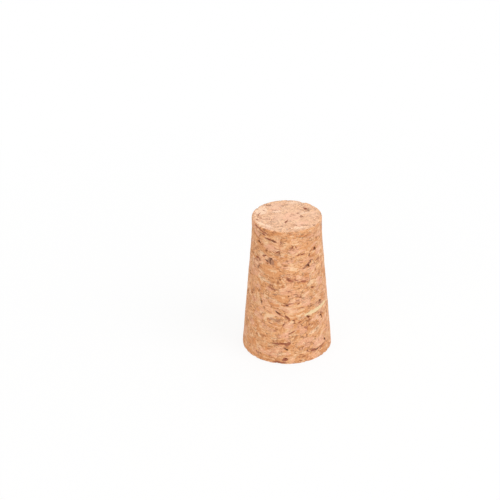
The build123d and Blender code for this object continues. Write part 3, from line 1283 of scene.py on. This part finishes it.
def cork_material(sizes, colours):
    """Agglomerated cork, pressed with binder and then ground to size.

    The eye gets a soft, dry, matt surface: flat-lying granules in tan, ochre and pink with
    streaks of their own, thin seams, brown dashes of bark, and dark cracks and pores whose
    brown lining is deepened with painted shade. The ends are lighter, partly by a painted
    highlight.
    """
    material = bpy.data.materials.new("Agglomerated cork, pressed and ground")
    material.use_nodes = True
    tree = material.node_tree
    tree.nodes.clear()
    place = add_node(tree, "ShaderNodeTexCoord").outputs["Object"]
    size = {key: getattr(sizes, key) for key, title in RELIEF_INPUTS}
    end_face = add_node(tree, "ShaderNodeAttribute", attribute_name="end_face").outputs["Fac"]
    on_side = add_node(tree, "ShaderNodeMath", {
        0: end_face,
        1: 0.5,
    }, operation="LESS_THAN").outputs[0]
    size["layer_tilt"] = add_node(tree, "ShaderNodeMath", {
        0: on_side,
        1: size["layer_tilt"],
    }, operation="MULTIPLY").outputs[0]
    edge, random, level = granule_field(tree, place, size)
    seams = open_seams(tree, place, edge, sizes.seam_width)
    turned = layered(tree, level, random)

    # The tone of the granule, its torn flakes, its streaks and mottling, and its ground pits
    textures = cork_textures(tree, place, level, turned, random, end_face)
    parts = [(textures[name], reach) for name, reach in TONE_REACH.items()]
    tone = summed(tree, TONE_BASE, parts)
    colour = granule_colour(tree, tone, random, colours)
    # The ends are lighter: partly their ground grain, partly a painted highlight
    end_paleness_and_highlight = add_node(tree, "ShaderNodeMath", {
        0: end_face,
        1: END_PALENESS_AND_HIGHLIGHT,
    }, operation="MULTIPLY").outputs[0]
    colour = add_node(tree, "ShaderNodeMix", {
        0: end_paleness_and_highlight,
        6: colour,
        7: colours.end_grain_and_highlight,
    }, data_type="RGBA").outputs[2]

    # Broad marks, then lips, seams and dashes, then the narrow marks
    straying = outline_straying(tree, place, level, end_face)
    # On the ends, pink and cream marks take lighter colours that carry the same painted highlight
    stains = {
        "ochre": colours.ochre,
        "pink": add_node(tree, "ShaderNodeMix", {
            0: end_face,
            6: colours.pink,
            7: colours.rosy_and_highlight,
        }, data_type="RGBA").outputs[2],
        "pale": add_node(tree, "ShaderNodeMix", {
            0: end_face,
            6: colours.cream,
            7: colours.end_grain_and_highlight,
        }, data_type="RGBA").outputs[2],
        "straw": colours.straw,
        "grey": colours.grey,
        "rust": colours.rust,
        "dark": colours.tick,
    }
    for kind in BROAD_KINDS:
        colour = marked(tree, colour, straying, kind, stains[kind])
    colour = with_lips_and_highlights(tree, colour, place, turned, end_face, colours)
    colour = with_seams(tree, colour, place, seams, end_face, colours)
    colour = with_dashes(tree, colour, level, end_face, colours)
    for kind in NARROW_KINDS:
        colour = marked(tree, colour, straying, kind, stains[kind])

    # Cracks and pores take their brown lining, with painted shade that darkens with their depth
    depth = add_node(tree, "ShaderNodeAttribute", attribute_name="open_depth").outputs["Fac"]
    lining_and_shade = add_node(tree, "ShaderNodeMapRange", {
        "Value": depth,
        "From Min": HOLLOW_SHADE_RANGE[0],
        "From Max": HOLLOW_SHADE_RANGE[1],
        "To Max": HOLLOW_SHADE_SHARE,
    }, interpolation_type="SMOOTHSTEP").outputs[0]
    colour = add_node(tree, "ShaderNodeMix", {
        0: lining_and_shade,
        6: colour,
        7: colours.cavity_and_shade,
    }, data_type="RGBA").outputs[2]

    # A dry matt surface, with the relief that is too fine for the mesh
    textures["seams"] = seams
    parts = [(textures[name], reach) for name, reach in FINE_RELIEF.items()]
    bump = add_node(tree, "ShaderNodeBump", {
        "Strength": BUMP_STRENGTH,
        "Distance": 1.0,
        "Height": summed(tree, 0.0, parts),
    }).outputs[0]
    roughness = add_node(tree, "ShaderNodeMapRange", {
        "Value": textures["mottle"],
        "From Min": -1.0,
        "To Min": ROUGHNESS_RANGE[0],
        "To Max": ROUGHNESS_RANGE[1],
    }).outputs[0]
    surface = add_node(tree, "ShaderNodeBsdfPrincipled", {
        "Base Color": colour,
        "Roughness": roughness,
        "Normal": bump,
        "IOR": 1.45,
        "Specular IOR Level": 0.5,
        "Sheen Weight": SHEEN,
        "Sheen Roughness": 0.5,
        "Sheen Tint": WHITE,
    }).outputs[0]
    add_node(tree, "ShaderNodeOutputMaterial", {0: surface})
    return material


def card_material(studio):
    """White card, uncoated: an even matt white that keeps only a soft shadow.

    What the camera sees of it is lifted towards plain white, so the shadow stays faint
    without more light on the stopper.
    """
    material = bpy.data.materials.new("White card, uncoated")
    material.use_nodes = True
    tree = material.node_tree
    tree.nodes.clear()
    seen = seen_rays(tree)
    place = add_node(tree, "ShaderNodeTexCoord").outputs["Object"]
    away = add_node(tree, "ShaderNodeVectorMath", {0: place}, operation="LENGTH").outputs["Value"]
    lift = add_node(tree, "ShaderNodeMapRange", {
        "Value": away,
        "From Min": LIFT_RANGE[0],
        "From Max": LIFT_RANGE[1],
        "To Min": studio.floor_lift,
    }).outputs[0]
    lift = add_node(tree, "ShaderNodeMath", {0: seen, 1: lift}, operation="MULTIPLY").outputs[0]
    card = add_node(tree, "ShaderNodeBsdfDiffuse", {0: studio.floor_colour}).outputs[0]
    white = add_node(tree, "ShaderNodeEmission", {0: WHITE, 1: 1.0}).outputs[0]
    lifted = add_node(tree, "ShaderNodeMixShader", {0: lift, 1: card, 2: white}).outputs[0]
    add_node(tree, "ShaderNodeOutputMaterial", {0: lifted})
    return material


def seen_rays(tree):
    """1 for the rays that show a background: from the camera, in gloss and through glass."""
    rays = add_node(tree, "ShaderNodeLightPath").outputs
    seen = rays["Is Camera Ray"]
    for kind in ("Is Glossy Ray", "Is Transmission Ray"):
        seen = add_node(tree, "ShaderNodeMath", {
            0: seen,
            1: rays[kind],
        }, operation="MAXIMUM").outputs[0]
    return seen


def white_room(studio):
    """World that lights gently from all round and shows as plain white."""
    world = bpy.data.worlds.new("White room")
    world.use_nodes = True
    tree = world.node_tree
    tree.nodes.clear()
    seen = seen_rays(tree)
    strength = add_node(tree, "ShaderNodeMapRange", {
        "Value": seen,
        "To Min": studio.ambient,
    }).outputs[0]
    room = add_node(tree, "ShaderNodeBackground", {0: WHITE, 1: strength}).outputs[0]
    add_node(tree, "ShaderNodeOutputWorld", {0: room})
    bpy.context.scene.world = world


def softbox(name, place, width, power, target):
    """Lamp of a square soft light at a place, turned to face the target."""
    lamp = bpy.data.lights.new(name, "AREA")
    lamp.shape = "SQUARE"
    lamp.size = width
    lamp.energy = power
    lamp_object = bpy.data.objects.new(name, lamp)
    lamp_object.location = place
    lamp_object.rotation_euler = (target - Vector(place)).to_track_quat("-Z", "Y").to_euler()
    bpy.context.scene.collection.objects.link(lamp_object)
    return lamp


class STOPPER_OT_cork(bpy.types.Operator):
    """Makes the cork stopper from the frame's node and gives it its finish"""

    bl_idname = "stopper.cork"
    bl_label = "Cork stopper"

    def execute(self, context):
        sizes = context.scene.stopper_sizes
        colours = context.scene.stopper_colours
        material = cork_material(sizes, colours)
        piece = weathered_skin(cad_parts["stopper"], sizes, material)
        mark_skin(piece.data, sizes)
        add_bake_map(piece.data, sizes)
        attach(piece, "root")
        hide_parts("stopper")
        return {"FINISHED"}


class STOPPER_OT_studio(bpy.types.Operator):
    """Sets the floor, the lights and the camera"""

    bl_idname = "stopper.studio"
    bl_label = "White studio"

    def execute(self, context):
        studio = context.scene.stopper_studio
        scene = context.scene
        middle = (CAD_BOX[0] + CAD_BOX[1]) / 2
        turns = ((-1, -1), (1, -1), (1, 1), (-1, 1))
        corners = [(FLOOR_REACH * x, FLOOR_REACH * y, 0) for x, y in turns]
        mesh = bpy.data.meshes.new("floor")
        mesh.from_pydata(corners, [], [(0, 1, 2, 3)])
        mesh.materials.append(card_material(studio))
        floor = bpy.data.objects.new("floor", mesh)
        scene.collection.objects.link(floor)

        white_room(studio)
        lamps = {}
        for name, (place, width) in SOFTBOXES.items():
            power = getattr(studio, name + "_power")
            lamps[name] = softbox(name, place, width, power, middle)
        lamps["fill"].color = studio.fill_colour[:3]

        lens = bpy.data.cameras.new("camera")
        lens.sensor_width = SENSOR_WIDTH
        lens.lens = studio.focal_length
        camera = bpy.data.objects.new("camera", lens)
        pitch = Matrix.Rotation(radians(90) - studio.camera_pitch, 4, "X")
        roll = Matrix.Rotation(studio.camera_roll, 4, "Z")
        camera.matrix_world = Matrix.Translation(studio.camera_place) @ pitch @ roll
        scene.collection.objects.link(camera)
        scene.camera = camera
        scene.view_settings.view_transform = "Standard"
        return {"FINISHED"}


class STOPPER_PT_panel(bpy.types.Panel):
    """Lists the stopper's steps and settings in the sidebar"""

    bl_idname = "STOPPER_PT_panel"
    bl_label = "Cork stopper"
    bl_space_type = "VIEW_3D"
    bl_region_type = "UI"
    bl_category = "Stopper"

    def draw(self, context):
        column = self.layout.column()
        steps = (
            (STOPPER_OT_cork, ("stopper_sizes", "stopper_colours")),
            (STOPPER_OT_studio, ("stopper_studio",)),
        )
        for operator, groups in steps:
            column.operator(operator.bl_idname)
            for group in groups:
                settings = getattr(context.scene, group)
                for name in settings.__annotations__:
                    column.prop(settings, name)


CLASSES = (
    StopperSizes,
    StopperColours,
    StudioSettings,
    STOPPER_OT_cork,
    STOPPER_OT_studio,
    STOPPER_PT_panel,
)


def register():
    for item in CLASSES:
        bpy.utils.register_class(item)
    bpy.types.Scene.stopper_sizes = PointerProperty(type=StopperSizes)
    bpy.types.Scene.stopper_colours = PointerProperty(type=StopperColours)
    bpy.types.Scene.stopper_studio = PointerProperty(type=StudioSettings)


def unregister():
    del bpy.types.Scene.stopper_studio
    del bpy.types.Scene.stopper_colours
    del bpy.types.Scene.stopper_sizes
    for item in reversed(CLASSES):
        bpy.utils.unregister_class(item)


def main():
    register()
    bpy.ops.stopper.cork()
    bpy.ops.stopper.studio()


if __name__ == "__main__":
    main()
